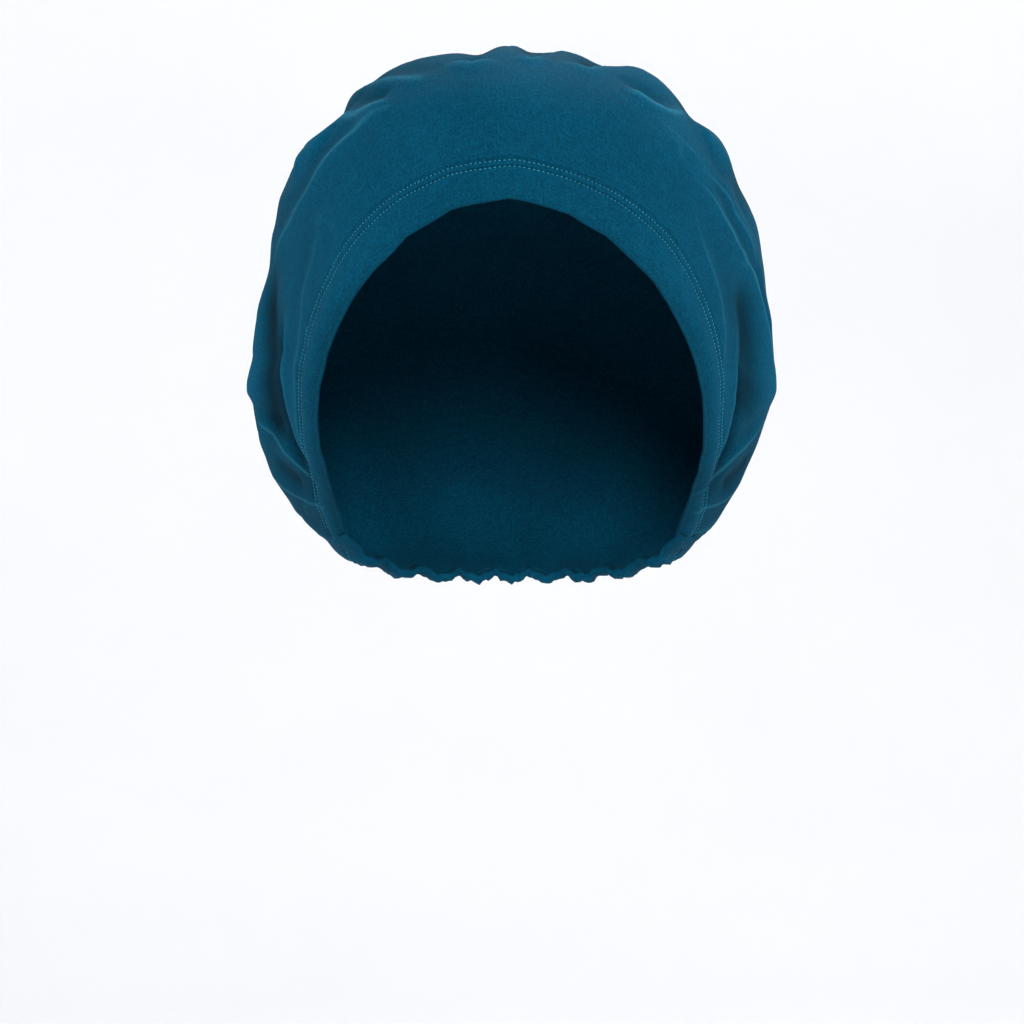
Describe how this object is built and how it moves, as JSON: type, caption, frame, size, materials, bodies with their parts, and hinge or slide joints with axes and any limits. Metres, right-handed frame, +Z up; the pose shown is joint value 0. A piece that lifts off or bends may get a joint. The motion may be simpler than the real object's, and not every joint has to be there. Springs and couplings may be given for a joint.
{
  "type": "scrub cap",
  "caption": "Bouffant scrub cap in its worn form: a full gathered woven crown, a turned and topstitched hem round the face and an elasticated nape casing.",
  "frame": {"origin": "where the top of the wearer's head touches the inside of the crown, on the middle plane", "axes": "+Z up out of the head, -Y the way the wearer faces, +X the wearer's left"},
  "size_m": [0.2198, 0.2162, 0.2158],
  "materials": {
    "crown_cloth": "matt teal woven cotton and polyester cloth",
    "hem_cloth": "matt teal woven cloth, two layers, topstitched",
    "casing_cloth": "matt teal woven cloth gathered over elastic"
  },
  "bodies": {
    "root": {"crown": "crown_cloth", "front_hem": "hem_cloth", "nape_casing": "casing_cloth"}
  },
  "joints": []
}
